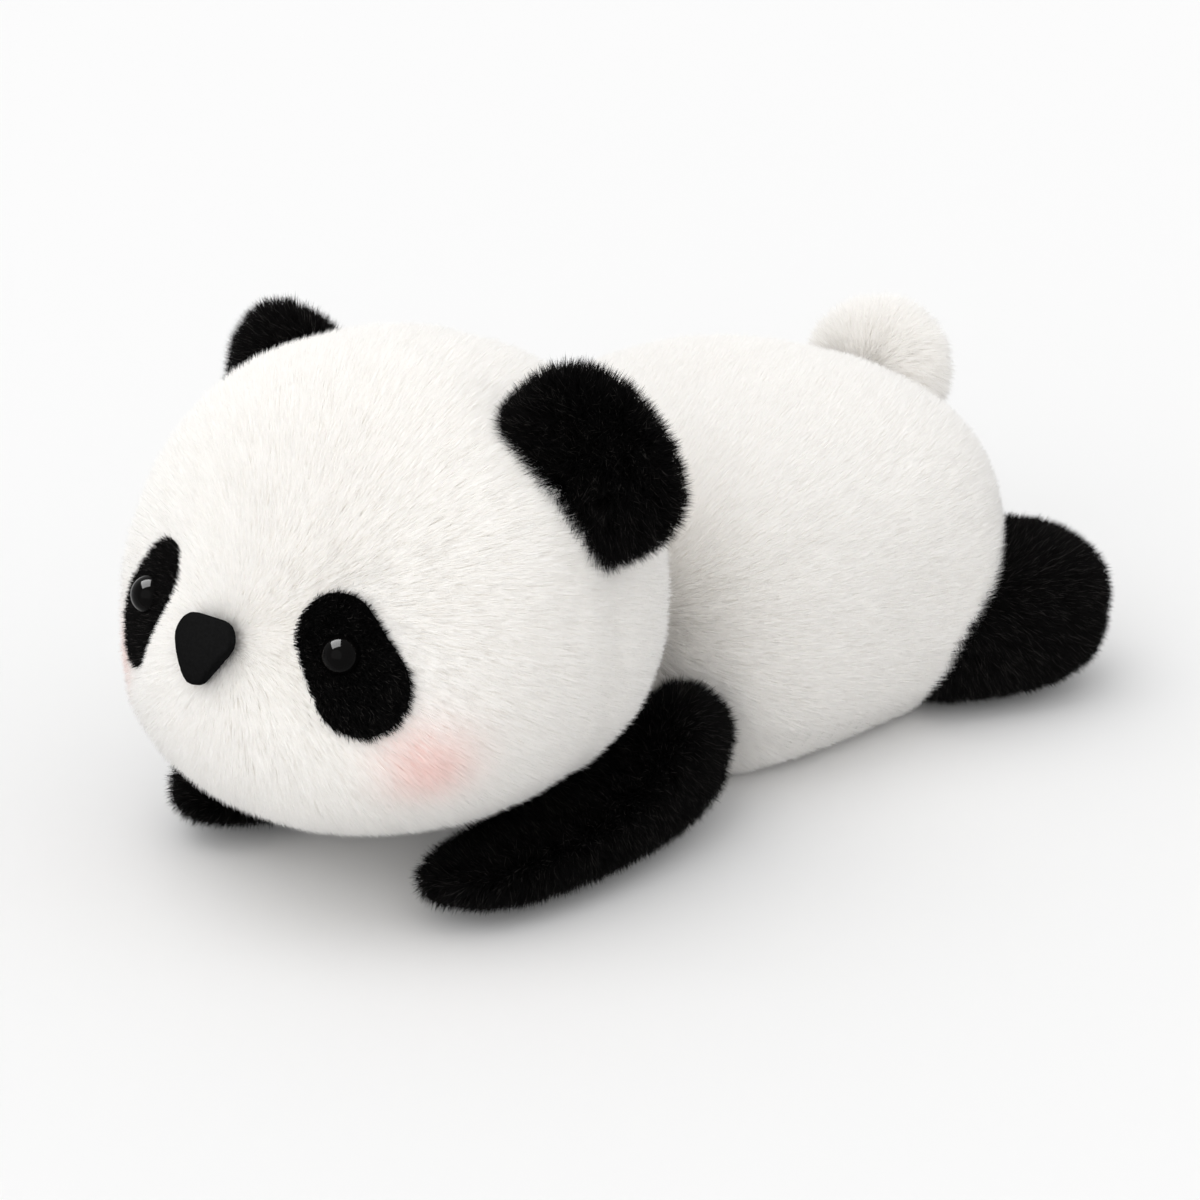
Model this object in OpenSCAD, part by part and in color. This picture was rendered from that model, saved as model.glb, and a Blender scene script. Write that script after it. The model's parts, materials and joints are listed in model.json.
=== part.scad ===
// Lying plush panda. +Z is up, the panda looks along -Y, and the origin lies on the
// resting face of its belly, under the middle of the torso. Sizes are taken over the pile.

/* [Cloth] */
// Thickness of the plush cloth: backing and pile
cloth = 5.5; // [4:0.5:7]
// Thickness of the cloth's woven backing
backing = 1.2; // [0.8:0.1:1.6]
// Clearance between soft pieces that move against each other
soft_gap = 0.5; // [0.4:0.1:1]
// Clearance of the plastic hardware in its holes
fit_gap = 0.1; // [0.05:0.05:0.3]
// Diameter of the sewing thread
thread_d = 1.6; // [1:0.1:2]

/* [Torso] */
// Width of the torso
torso_w = 149; // [135:1:165]
// Height of the torso before the belly is flattened
torso_h = 116; // [106:1:126]
// Height of the torso's middle above the floor
torso_rise = 41; // [38:0.5:46]
// Length of the torso in front of its middle
torso_front = 82.5; // [76:0.5:95]
// Length of the torso behind its middle
torso_rear = 86; // [78:0.5:98]
// How much wider the rear end is than the middle, as a share
torso_flare = 0.075; // [0:0.005:0.12]
// Degrees by which the front end is lifted
torso_tilt = 2; // [0:0.5:4]
// Degrees below the widest line at which the belly seam runs
belly_seam = 30; // [20:5:45]

/* [Head] */
// Width of the head
head_w = 143; // [130:1:156]
// Height of the head
head_h = 127; // [116:1:138]
// Length of the head in front of its widest section
head_front = 70.5; // [64:0.5:80]
// Length of the head behind its widest section
head_rear = 60; // [54:0.5:68]
// Height of the chin above the floor
chin_rise = 17; // [14:0.5:24]
// How much the forehead slopes back and the chin comes forward, as a share
head_chin = 0.31; // [0.2:0.01:0.36]
// How much narrower the crown is than the cheeks, as a share
head_narrow = 0.04; // [0:0.01:0.1]
// How far the muzzle stands out of the face
muzzle_out = 5.5; // [2:0.5:7]
// Width of the muzzle
muzzle_w = 46; // [36:1:56]
// Distance between the rear of the head and the front of the torso
neck_gap = 2; // [1.5:0.5:5]
// Diameter of the stuffed neck
neck_d = 64; // [50:1:68]
// Degrees that the head turns to each side
head_turn = 15; // [5:1:15]

/* [Face] */
// Distance between the two eyes
eye_span = 68.5; // [60:0.5:76]
// Height of the eyes above the middle of the head
eye_rise = 5.2; // [-4:0.2:10]
// Diameter of an eye
eye_d = 10.4; // [8:0.2:13]
// Height of an eye's dome over the pile
eye_proud = 1.8; // [1.2:0.1:3]
// Length of an eye patch
patch_l = 38; // [34:0.5:44]
// Width of the lower end of an eye patch
patch_w = 25.5; // [20:0.5:27]
// Width of the upper end of an eye patch
patch_top_w = 21; // [15:0.5:22]
// Degrees by which the patches slope down and outwards
patch_slope = 29; // [20:1:40]
// Sideways distance from the eye to the middle of its patch
patch_shift = 3.2; // [0:0.1:4]
// Drop from the eye to the middle of its patch
patch_drop = 3; // [1:0.1:6]
// How much lower the short pile of the patches lies than the pile around them
patch_sink = 2.5; // [1:0.1:3.5]
// Height of the nose's middle above the middle of the head
nose_rise = 2; // [-4:0.5:6]
// Width of the nose
nose_w = 18.5; // [17:0.5:24]
// Height of the nose
nose_h = 17.8; // [15:0.1:23]
// Thickness of the nose
nose_t = 5; // [4:0.5:7]
// How far the nose sits in the pile
nose_sink = 1.5; // [1:0.1:2.5]
// Diameter of the shanks behind the eyes and the nose
shank_d = 4; // [3:0.5:5]
// Length of the shanks behind the cloth
shank_l = 9; // [7:0.5:12]
// Diameter of the locking washers
washer_d = 15; // [12:0.5:18]
// Thickness of the locking washers
washer_t = 1.6; // [1:0.1:2.5]

/* [Ears] */
// Width of an ear
ear_w = 59; // [50:1:66]
// Height of an ear over its fold line
ear_h = 40; // [34:1:48]
// Thickness of an ear
ear_t = 18; // [15:0.5:22]
// Degrees round the head from its side at which the left ear is sewn on
ear_round = 34; // [28:1:42]
// Distance of the left ear behind the head's widest section
ear_back = 0; // [0:0.5:12]
// Degrees round the head from its side at which the right ear is sewn on
right_ear_round = 22; // [18:1:42]
// Distance of the right ear behind the head's widest section
right_ear_back = 37; // [2:0.5:40]
// Degrees by which an ear stands up from level
ear_lift = 38; // [30:1:46]
// Degrees by which an ear's upper end is turned to the front
ear_toe = 9; // [0:1:14]
// How deep the fold line lies in the head
ear_sink = 3; // [2:0.5:5]
// Share of its width that an ear keeps at the fold line
ear_pinch = 0.84; // [0.75:0.01:0.95]
// Degrees that an ear folds each way
ear_fold = 15; // [5:1:20]

/* [Limbs] */
// How much the limbs are flattened where they lie on the floor
limb_flat = 2; // [1:0.5:3]

/* [Arms] */
// Distance between the middles of the arms
arm_span = 92; // [86:1:100]
// Length of an arm
arm_l = 112; // [104:1:122]
// Width of an arm
arm_w = 47; // [44:1:54]
// Height of an arm at its middle
arm_h = 46; // [38:1:48]
// How much flatter the paw is than the middle of the arm, as a share
arm_taper = 0.05; // [0.02:0.01:0.2]
// How deep the arm's root reaches behind the front of the torso
arm_root = 13; // [8:0.5:16]
// Degrees by which the arms point inwards
arm_toe = 4; // [0:1:6]
// Degrees that an arm swings outwards
arm_out = 40; // [10:1:45]
// Degrees that an arm swings inwards
arm_in = 5; // [2:1:6]
// Clearance under the head in which an arm lies
press_gap = 1.2; // [0.8:0.1:3]

/* [Legs] */
// Distance between the middles of the legs
leg_span = 118; // [110:1:126]
// Distance of the legs' middles behind the middle of the torso
leg_back = 47; // [40:1:52]
// Length of a leg
leg_l = 84; // [74:1:92]
// Width of a leg
leg_w = 61; // [54:1:66]
// Height of a leg
leg_h = 48; // [44:1:56]
// How much thicker the foot is than the middle of the leg, as a share
leg_taper = 0.12; // [0:0.01:0.15]
// Degrees by which the legs point outwards
leg_splay = 35; // [25:1:45]
// Degrees that a leg swings each way
leg_swing = 8; // [4:1:10]

/* [Tail] */
// Diameter of the tail ball
tail_d = 43; // [36:0.5:50]
// Degrees from the torso's rear end up its back at which the tail sits
tail_up = 32; // [28:1:42]
// How deep the tail ball sinks into the torso
tail_sink = 15; // [12:0.5:18]
// Degrees that the tail wags to each side
tail_wag = 12; // [4:1:15]

/* [Hidden] */
$fn = 48;

WHITE = [0.95, 0.93, 0.90];
BLACK = [0.05, 0.05, 0.055];
FILL = [0.85, 0.85, 0.82];

// Roundness of the forms: 1 is an ellipse, and less is boxier
head_round = 0.91;
head_rear_round = 0.8;
torso_round = 0.81;
torso_front_round = 0.55;
torso_rear_round = 0.9;
arm_round = 0.86;
leg_round = 0.82;
ear_round_tip = 0.6;

// Steps round and along each form
HEAD_STEPS = [32, 22];
TORSO_STEPS = [36, 22];
LIMB_STEPS = [20, 14];
EAR_STEPS = [20, 14];

// Space for cutting tools that run past a face
PAST = 1;
FAR = 400;

head_z = chin_rise + head_h / 2;
head_y = -torso_front - neck_gap - head_rear;
neck_at = [0, -torso_front - neck_gap / 2, (head_z + torso_rise) / 2];

/* Forms: each is a function of u round the form, v from its front pole at -90 to its rear pole
   at 90, and the depth below its surface */

function power(v, n) = sign(v) * pow(abs(v), n);

function turned(p, a) = [p.x * cos(a) - p.y * sin(a), p.x * sin(a) + p.y * cos(a)];

// The muzzle's bulge at a sideways distance and a height over the middle of the head
function muzzle(x, rise) = muzzle_out * exp(-pow(2 * norm([x, rise]) / muzzle_w, 2));

head_form = function (u, v, depth) let (
    front = v < 0,
    n = front ? head_round : head_rear_round,
    ring = power(cos(v), n),
    up = ring * power(sin(u), head_round),
    reach = (front ? head_front : head_rear) - depth,
    x = (head_w / 2 - depth) * ring * power(cos(u), head_round) * (1 - head_narrow * up),
    rise = (head_h / 2 - depth) * up,
    bulge = front ? muzzle(x, rise) : 0
)
[x, head_y + reach * power(sin(v), n) * (front ? 1 - head_chin * up : 1) - bulge, head_z + rise];

torso_form = function (u, v, depth) let (
    n = v < 0 ? torso_front_round : torso_rear_round,
    ring = power(cos(v), n),
    along = power(sin(v), n),
    wide = 1 + torso_flare * along,
    x = (torso_w / 2 - depth) * ring * power(cos(u), torso_round) * wide,
    y = ((v < 0 ? torso_front : torso_rear) - depth) * along,
    z = (torso_h / 2 - depth) * ring * power(sin(u), torso_round) * wide
) [
    x,
    y * cos(torso_tilt) + z * sin(torso_tilt),
    torso_rise - y * sin(torso_tilt) + z * cos(torso_tilt)
];

// The torso's inner surface, which stays one cloth above the floor
torso_lining = function (u, v, depth) let (p = torso_form(u, v, depth)) [p.x, p.y, max(p.z, depth)];

// The underside of the head over a point, for a head turned by a, or far up beside the head
function head_under(x, y, a, steps = 3, drop = 1) =
    let (
        p = turned([x - neck_at.x, y - neck_at.y], -a),
        back = p.y + neck_at.y - head_y,
        n = back < 0 ? head_round : head_rear_round,
        share_y = abs(back) / (back < 0 ? head_front * (1 + head_chin * drop) : head_rear),
        share_x = abs(p.x) / (head_w / 2 * (1 + head_narrow * drop)),
        section = share_y < 1 ? pow(1 - pow(share_y, 2 / n), n / head_round) : 0,
        rest = section - pow(share_x, 2 / head_round),
        low = rest > 0 ? pow(rest, head_round / 2) : 0
    )
    low == 0 ? FAR : steps > 0 ? head_under(x, y, a, steps - 1, low) : head_z - head_h / 2 * low;

arm_at = [arm_span / 2, -torso_front + arm_root - arm_w / 2];
leg_at = [leg_span / 2, leg_back] - (leg_l - leg_w) / 2 * [sin(leg_splay), cos(leg_splay)];

// The room under the head for a point of the left arm, wherever the arm swings and the head turns
function pressed(p) =
    min([
        for (swing = [0 : 0.5 : 1], turn = [-1 : 0.25 : 1])
            let (q = arm_at + turned(p - arm_at, swing * arm_out))
            head_under(q.x, q.y, turn * head_turn)
    ]) - press_gap;

// A limb is flattened on the floor, and its root's round end is centred on its joint
function limb(u, v, depth, at, turn, l, w, h, taper, n) =
    let (
        ring = power(cos(v), n),
        along = power(sin(v), n),
        half_h = h / 2 * (1 + taper * along),
        x = (w / 2 - depth) * ring * power(cos(u), n),
        y = (l - w) / 2 + (l / 2 - depth) * along,
        p = at + turned([x, y], turn),
        room = min(1, pressed(p) / (2 * half_h - limb_flat)),
        z = half_h - limb_flat + (half_h - depth) * ring * power(sin(u), n)
    )
    [p.x, p.y, max(depth, z * room)];

// The eye patches' cloth has a shorter pile
patch_form = function (u, v, depth) head_form(u, v, max(depth, patch_sink));

arm_form = function (u, v, depth)
    limb(u, v, depth, arm_at, 180 - arm_toe, arm_l, arm_w, arm_h, -arm_taper, arm_round);

leg_form = function (u, v, depth)
    limb(u, v, depth, leg_at, -leg_splay, leg_l, leg_w, leg_h, leg_taper, leg_round);

// An ear stands on its fold line, along Y, and is round about it below
ear_form = function (u, v, depth) let (
    ring = power(cos(v), ear_round_tip),
    above = sin(u) > 0,
    up = above ? ring * sin(u) : 0
) [
    (ear_t / 2 - depth) * ring * cos(u),
    (ear_w / 2 - depth) * sin(v) * (1 - (1 - ear_pinch) * pow(1 - up, 2)),
    ((above ? ear_h : ear_t / 2) - depth) * ring * sin(u)
];

/* Skins: closed bodies over a grid of steps round (u) and along (v) a form */

// Number of the grid point (i along, j round), where a pole is one point and a closed ring wraps
function grid_id(i, j, n, wrap, poles, base) =
    base + i * (n.x + 1) + ((i == 0 && poles[0]) || (i == n.y && poles[1]) ? 0 : wrap ? j % n.x : j);

function grid_points(form, u, v, n, depth) = [
    for (i = [0 : n.y], j = [0 : n.x])
        form(u[0] + (u[1] - u[0]) * j / n.x, v[0] + (v[1] - v[0]) * i / n.y, depth)
];

function grid_faces(n, wrap, poles, base, inward) = [
    for (i = [0 : n.y - 1], j = [0 : n.x - 1])
        let (
            a = grid_id(i, j, n, wrap, poles, base),
            b = grid_id(i, j + 1, n, wrap, poles, base),
            c = grid_id(i + 1, j + 1, n, wrap, poles, base),
            d = grid_id(i + 1, j, n, wrap, poles, base)
        )
        each [
            if (!(i == 0 && poles[0])) inward ? [c, b, a] : [a, b, c],
            if (!(i == n.y - 1 && poles[1])) inward ? [d, c, a] : [a, c, d]
        ]
];

// Two triangles between two neighbouring points of the outer and of the inner grid
function rim(o1, o2, i2, i1, flip) = flip ? [[i2, o2, o1], [i1, i2, o1]] : [[o1, o2, i2], [o1, i2, i1]];

function side_rims(n, poles, inner) = [
    for (j = [0, n.x], i = [0 : n.y - 1])
        let (
            a = grid_id(i, j, n, false, poles, 0),
            b = grid_id(i + 1, j, n, false, poles, 0)
        )
        each rim(a, b, b + inner, a + inner, j > 0)
];

function end_rims(n, wrap, poles, inner) = [
    for (end = [0, 1])
        if (!poles[end])
            for (j = [0 : n.x - 1])
                let (
                    a = grid_id(end * n.y, j, n, wrap, poles, 0),
                    b = grid_id(end * n.y, j + 1, n, wrap, poles, 0)
                )
                each rim(a, b, b + inner, a + inner, end == 0)
];

// The whole body inside a form, at a depth below its surface
module filled(form, n, depth) {
    polyhedron(
        points = grid_points(form, [0, 360], [-90, 90], n, depth),
        faces = grid_faces(n, true, [true, true], 0, false),
        convexity = 4
    );
}

// A cloth panel over part of a form: its outer face, its lining and its edges
module panel(form, lining, u, v, n) {
    wrap = u[1] - u[0] == 360;
    poles = [v[0] == -90, v[1] == 90];
    inner = (n.x + 1) * (n.y + 1);
    polyhedron(
        points = concat(grid_points(form, u, v, n, 0), grid_points(lining, u, v, n, cloth)),
        faces = concat(
            grid_faces(n, wrap, poles, 0, false),
            grid_faces(n, wrap, poles, inner, true),
            wrap ? [] : side_rims(n, poles, inner),
            end_rims(n, wrap, poles, inner)
        ),
        convexity = 6
    );
}

module mirrored(right) {
    if (right) mirror([1, 0, 0]) children();
    else children();
}

/* Places on the head */

// The face's surface at a sideways distance and a height over the middle of the head
function face_at(x, rise) =
    let (
        up = rise / (head_h / 2),
        share = abs(x) / (head_w / 2 * (1 - head_narrow * up)),
        section = pow(share, 2 / head_round) + pow(abs(up), 2 / head_round),
        reach = head_front * (1 - head_chin * up) * pow(1 - section, head_round / 2)
    )
    [x, head_y - reach - muzzle(x, rise), head_z + rise];

function face_normal(x, rise) =
    let (
        d = 1,
        across = face_at(x + d, rise) - face_at(x - d, rise),
        upward = face_at(x, rise + d) - face_at(x, rise - d),
        n = cross(across, upward)
    )
    n / norm(n);

// Puts its children on the face with +Z along the outward normal and +Y up the face
module on_face(x, rise) {
    n = face_normal(x, rise);
    translate(face_at(x, rise))
        rotate([0, acos(n.z), atan2(n.y, n.x)])
            rotate([0, 0, 90])
                children();
}

// The right ear's place is given on the left side, as the whole ear is mirrored
function ear_at(right) =
    let (back = right ? right_ear_back : ear_back)
    head_form(
        right ? right_ear_round : ear_round,
        asin(pow(back / head_rear, 1 / head_rear_round)),
        ear_sink
    );

module on_ear_seam(right) {
    translate(ear_at(right))
        rotate([0, 90 - ear_lift, 0])
            rotate([0, 0, 90 + ear_toe])
                children();
}

/* Hardware */

module eye_patch_outline() {
    lower_r = patch_w / 2;
    upper_r = patch_top_w / 2;
    rotate(patch_slope)
        hull() {
            translate([0, lower_r - patch_l / 2]) circle(r = lower_r, $fn = 32);
            translate([0, patch_l / 2 - upper_r]) circle(r = upper_r, $fn = 32);
        }
}

module eye_patch_cutter() {
    on_face(eye_span / 2 + patch_shift, eye_rise - patch_drop)
        translate([0, 0, -3 * cloth])
            linear_extrude(5 * cloth) eye_patch_outline();
}

// A shank with its stop: from the seat's depth to the end behind the cloth
module shank(seat, grow) {
    translate([0, 0, -cloth - shank_l]) cylinder(d = shank_d + 2 * grow, h = cloth + shank_l - seat);
}

// A washer lies under the cloth, clear of the bulge of its lining
washer_seat = cloth + pow(washer_d, 2) / 4 / head_w + fit_gap;
// The nose's washer also clears the lining's bulge in the muzzle
nose_washer_seat = washer_seat + muzzle(0, 0) - muzzle(washer_d * 3 / 4, 0);

module washer_body(seat, grow, up = 0) {
    translate([0, 0, -seat - washer_t - grow])
        cylinder(d = washer_d + 2 * grow, h = washer_t + grow + up);
}

// An eye's dome is cut flat where it sits on the backing
module eye_body(grow) {
    seat = cloth - backing;
    intersection() {
        translate([0, 0, eye_proud - eye_d / 2]) sphere(d = eye_d + 2 * grow);
        translate([0, 0, FAR / 2 - seat - grow]) cube(FAR, center = true);
    }
    shank(seat - PAST / 4, grow);
}

module nose_outline(grow) {
    round_r = nose_w * 0.28;
    tip_r = nose_w * 0.2;
    offset(r = grow)
        hull() {
            for (side = [-1, 1])
                translate([side * (nose_w / 2 - round_r), nose_h / 2 - round_r])
                    circle(r = round_r, $fn = 32);
            translate([0, tip_r - nose_h / 2]) circle(r = tip_r, $fn = 32);
        }
}

module nose_body(grow) {
    dome_r = nose_w * 1.2;
    translate([0, 0, -nose_sink - grow])
        intersection() {
            linear_extrude(nose_t + 2 * grow) nose_outline(grow);
            translate([0, 0, nose_t - dome_r]) sphere(r = dome_r + 2 * grow, $fn = 96);
        }
    shank(nose_sink - PAST / 4, grow);
}

/* Pockets that clear what moves */

module neck_pocket() {
    translate(neck_at) sphere(r = neck_d / 2 + soft_gap, $fn = 96);
}

// A prism along the fold line: round below it, and above it a fan over the ear's fold
module ear_pocket(right) {
    r = ear_t / 2 + soft_gap;
    reach = ear_h / 2;
    on_ear_seam(right)
        rotate([90, 0, 0])
            linear_extrude(ear_w * (1 + ear_pinch) / 2 + 2 * soft_gap, center = true)
                polygon([
                    for (a = [180 : 30 : 360]) r / cos(15) * [cos(a), sin(a)],
                    for (side = [1, -1]) [side * (r + reach * sin(ear_fold)), reach]
                ]);
}

module arm_pocket() {
    hull()
        for (a = [-arm_in, arm_out / 2, arm_out])
            translate(arm_at)
                rotate(a)
                    translate(-arm_at) filled(arm_form, LIMB_STEPS, -soft_gap);
}

module leg_pocket() {
    hull()
        for (a = [-leg_swing, 0, leg_swing])
            translate(leg_at)
                rotate(a)
                    translate(-leg_at) filled(leg_form, LIMB_STEPS, -soft_gap);
}

// The tail ball stands out of the back along its normal, and wags about its own lowest point
tail_rear = torso_form(90, 91 - tail_up, 0);
tail_front = torso_form(90, 89 - tail_up, 0);
tail_out = cross(tail_front - tail_rear, [1, 0, 0]) / norm(tail_front - tail_rear);
tail_root = torso_form(90, 90 - tail_up, 0) - tail_sink * tail_out;
tail_at = tail_root + tail_d / 2 * tail_out;

module tail_pocket() {
    for (a = [-tail_wag : tail_wag / 2 : tail_wag])
        translate(tail_root)
            rotate(a, cross([1, 0, 0], tail_out))
                translate(tail_at - tail_root)
                    sphere(d = tail_d + 2 * soft_gap, $fn = 72);
}

/* Head */

module head_cutters() {
    neck_pocket();
    for (right = [false, true])
        mirrored(right) ear_pocket(right);
}

module face_panel() {
    color(WHITE)
        difference() {
            panel(head_form, head_form, [0, 360], [-90, 0], [HEAD_STEPS.x, HEAD_STEPS.y / 2]);
            head_cutters();
            for (right = [false, true])
                mirrored(right) eye_patch_cutter();
            on_face(0, nose_rise) nose_body(fit_gap);
        }
}

module head_back_panel(right) {
    color(WHITE)
        difference() {
            panel(
                head_form, head_form,
                right ? [90, 270] : [-90, 90], [0, 90], HEAD_STEPS / 2
            );
            neck_pocket();
            mirrored(right) ear_pocket(right);
        }
}

module head_stuffing() {
    color(FILL)
        difference() {
            filled(head_form, HEAD_STEPS, cloth);
            head_cutters();
            for (right = [false, true])
                mirrored(right)
                    on_face(eye_span / 2, eye_rise) lock_pocket(washer_seat);
            on_face(0, nose_rise) lock_pocket(nose_washer_seat);
        }
}

module eye_patch(right) {
    color(BLACK)
        mirrored(right)
            difference() {
                intersection() {
                    panel(patch_form, head_form, [0, 360], [-90, 0], [HEAD_STEPS.x, HEAD_STEPS.y / 2]);
                    eye_patch_cutter();
                }
                on_face(eye_span / 2, eye_rise) eye_body(fit_gap);
            }
}

module eye(right) {
    color("black")
        mirrored(right)
            on_face(eye_span / 2, eye_rise) eye_body(0);
}

// Room in the stuffing for a shank and its washer
module lock_pocket(seat) {
    shank(0, fit_gap);
    washer_body(seat, fit_gap, cloth);
}

module washer(seat) {
    color("white")
        difference() {
            washer_body(seat, 0);
            shank(0, fit_gap);
        }
}

module eye_washer(right) {
    mirrored(right)
        on_face(eye_span / 2, eye_rise) washer(washer_seat);
}

module nose() {
    color(BLACK)
        on_face(0, nose_rise) nose_body(0);
}

module nose_washer() {
    on_face(0, nose_rise) washer(nose_washer_seat);
}

/* Ears */

module ear_front_panel(right) {
    color(BLACK)
        mirrored(right)
            on_ear_seam(right)
                panel(ear_form, ear_form, [90, 270], [-90, 90], [EAR_STEPS.x / 2, EAR_STEPS.y]);
}

module ear_back_panel(right) {
    color(BLACK)
        mirrored(right)
            on_ear_seam(right)
                panel(ear_form, ear_form, [-90, 90], [-90, 90], [EAR_STEPS.x / 2, EAR_STEPS.y]);
}

module ear_stuffing(right) {
    color(FILL)
        mirrored(right)
            on_ear_seam(right)
                filled(ear_form, EAR_STEPS, cloth);
}

/* Neck */

module neck_stuffing() {
    color(FILL)
        translate(neck_at) sphere(d = neck_d, $fn = 96);
}

// The ladder stitches of the neck are drawn into the stuffing
module neck_thread() {
    color(WHITE)
        translate(neck_at)
            rotate([90, 0, 0])
                rotate_extrude($fn = 96)
                    translate([(neck_d - thread_d) / 2, 0]) circle(d = thread_d, $fn = 24);
}

/* Torso */

module below_floor() {
    translate([0, 0, -FAR / 2]) cube(FAR, center = true);
}

module torso_cutters(left, right) {
    neck_pocket();
    tail_pocket();
    if (left) {
        arm_pocket();
        leg_pocket();
    }
    if (right)
        mirror([1, 0, 0]) {
            arm_pocket();
            leg_pocket();
        }
}

STITCHES = 7;
stitch_l = 8;
stitch_pitch = 6;
// Distance of the first stitch in front of the torso's middle
stitch_start = 10;

// Ladder stitches that close the seam between the back and the belly, in the cloth
module stitches() {
    for (i = [0 : STITCHES - 1])
        let (
            ahead = stitch_start + i * stitch_pitch,
            v = -asin(pow(ahead / torso_front, 1 / torso_front_round)),
            p = torso_form(-belly_seam, v, cloth / 2),
            q = torso_form(PAST - belly_seam, v, cloth / 2),
            way = (q - p) / norm(q - p)
        )
        translate(p)
            rotate([0, acos(way.z), atan2(way.y, way.x)])
                cylinder(d = thread_d, h = stitch_l, center = true, $fn = 24);
}

module back_panel(right) {
    span = [-belly_seam, 90];
    color(WHITE)
        mirrored(right)
            difference() {
                panel(torso_form, torso_lining, span, [-90, 90], [TORSO_STEPS.x / 3, TORSO_STEPS.y]);
                torso_cutters(true, false);
                if (!right) stitches();
            }
}

module belly_panel() {
    span = [180 + belly_seam, 360 - belly_seam];
    color(WHITE)
        difference() {
            panel(torso_form, torso_lining, span, [-90, 90], [TORSO_STEPS.x / 3, TORSO_STEPS.y]);
            torso_cutters(true, true);
            below_floor();
            stitches();
        }
}

module torso_stuffing() {
    color(FILL)
        difference() {
            filled(torso_lining, TORSO_STEPS, cloth);
            torso_cutters(true, true);
        }
}

module closing_stitches() {
    color(WHITE) stitches();
}

/* Limbs and tail */

module limb_panel(form, right, upper) {
    color(BLACK)
        mirrored(right)
            panel(form, form, upper ? [0, 180] : [180, 360], [-90, 90], [LIMB_STEPS.x / 2, LIMB_STEPS.y]);
}

module limb_stuffing(form, right) {
    color(FILL)
        mirrored(right) filled(form, LIMB_STEPS, cloth);
}

module tail_cover() {
    color(WHITE)
        translate(tail_at)
            difference() {
                sphere(d = tail_d, $fn = 72);
                sphere(d = tail_d - 2 * cloth, $fn = 72);
            }
}

module tail_stuffing() {
    color(FILL)
        translate(tail_at) sphere(d = tail_d - 2 * cloth, $fn = 72);
}

face_panel();
head_back_panel(false);  // head_back_left_panel
head_back_panel(true);  // head_back_right_panel
head_stuffing();
eye_patch(false);  // left_eye_patch
eye_patch(true);  // right_eye_patch
eye(false);  // left_eye
eye(true);  // right_eye
eye_washer(false);  // left_eye_washer
eye_washer(true);  // right_eye_washer
nose();
nose_washer();
ear_front_panel(false);  // left_ear_front_panel
ear_back_panel(false);  // left_ear_back_panel
ear_stuffing(false);  // left_ear_stuffing
ear_front_panel(true);  // right_ear_front_panel
ear_back_panel(true);  // right_ear_back_panel
ear_stuffing(true);  // right_ear_stuffing
neck_stuffing();
neck_thread();
back_panel(false);  // back_left_panel
back_panel(true);  // back_right_panel
belly_panel();
torso_stuffing();
closing_stitches();
limb_panel(arm_form, false, true);  // left_arm_upper_panel
limb_panel(arm_form, false, false);  // left_arm_under_panel
limb_stuffing(arm_form, false);  // left_arm_stuffing
limb_panel(arm_form, true, true);  // right_arm_upper_panel
limb_panel(arm_form, true, false);  // right_arm_under_panel
limb_stuffing(arm_form, true);  // right_arm_stuffing
limb_panel(leg_form, false, true);  // left_leg_upper_panel
limb_panel(leg_form, false, false);  // left_leg_under_panel
limb_stuffing(leg_form, false);  // left_leg_stuffing
limb_panel(leg_form, true, true);  // right_leg_upper_panel
limb_panel(leg_form, true, false);  // right_leg_under_panel
limb_stuffing(leg_form, true);  // right_leg_stuffing
tail_cover();
tail_stuffing();
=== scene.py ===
"""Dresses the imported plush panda: its cloth with a real pile, its eyes and nose, the floor, the light
and the camera. It is laid out as an add-on and is run as a script. Lengths are in metres."""

import json
import math

import bmesh
import bpy
import numpy as np
from mathutils import Matrix, Vector, noise
from mathutils.bvhtree import BVHTree


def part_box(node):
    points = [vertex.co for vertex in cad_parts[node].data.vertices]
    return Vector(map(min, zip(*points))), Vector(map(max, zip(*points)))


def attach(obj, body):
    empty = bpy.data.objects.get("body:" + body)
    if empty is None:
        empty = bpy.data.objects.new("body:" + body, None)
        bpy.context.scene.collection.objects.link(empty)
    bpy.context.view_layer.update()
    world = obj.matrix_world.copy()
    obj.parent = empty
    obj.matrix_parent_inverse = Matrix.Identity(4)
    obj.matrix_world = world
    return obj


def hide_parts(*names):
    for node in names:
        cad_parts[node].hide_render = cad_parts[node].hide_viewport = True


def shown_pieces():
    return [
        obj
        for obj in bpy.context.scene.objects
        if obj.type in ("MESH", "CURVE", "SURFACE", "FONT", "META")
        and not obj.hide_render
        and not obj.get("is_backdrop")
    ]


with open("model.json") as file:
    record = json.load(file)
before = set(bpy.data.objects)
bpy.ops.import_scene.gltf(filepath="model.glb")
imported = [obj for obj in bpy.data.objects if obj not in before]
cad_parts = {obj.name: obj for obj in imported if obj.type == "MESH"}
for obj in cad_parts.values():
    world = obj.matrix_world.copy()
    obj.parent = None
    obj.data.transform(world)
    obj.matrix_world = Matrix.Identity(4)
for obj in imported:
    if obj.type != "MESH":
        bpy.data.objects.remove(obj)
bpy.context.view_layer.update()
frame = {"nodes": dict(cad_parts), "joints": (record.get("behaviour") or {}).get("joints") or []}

bl_info = {
    "name": "Plush Panda",
    "version": (1, 0, 0),
    "blender": (4, 5, 0),
    "location": "3D View > Sidebar > Panda",
    "description": "Makes a lying plush panda with a real pile on its packed frame",
    "category": "Add Mesh",
}

MM = 0.001

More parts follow.
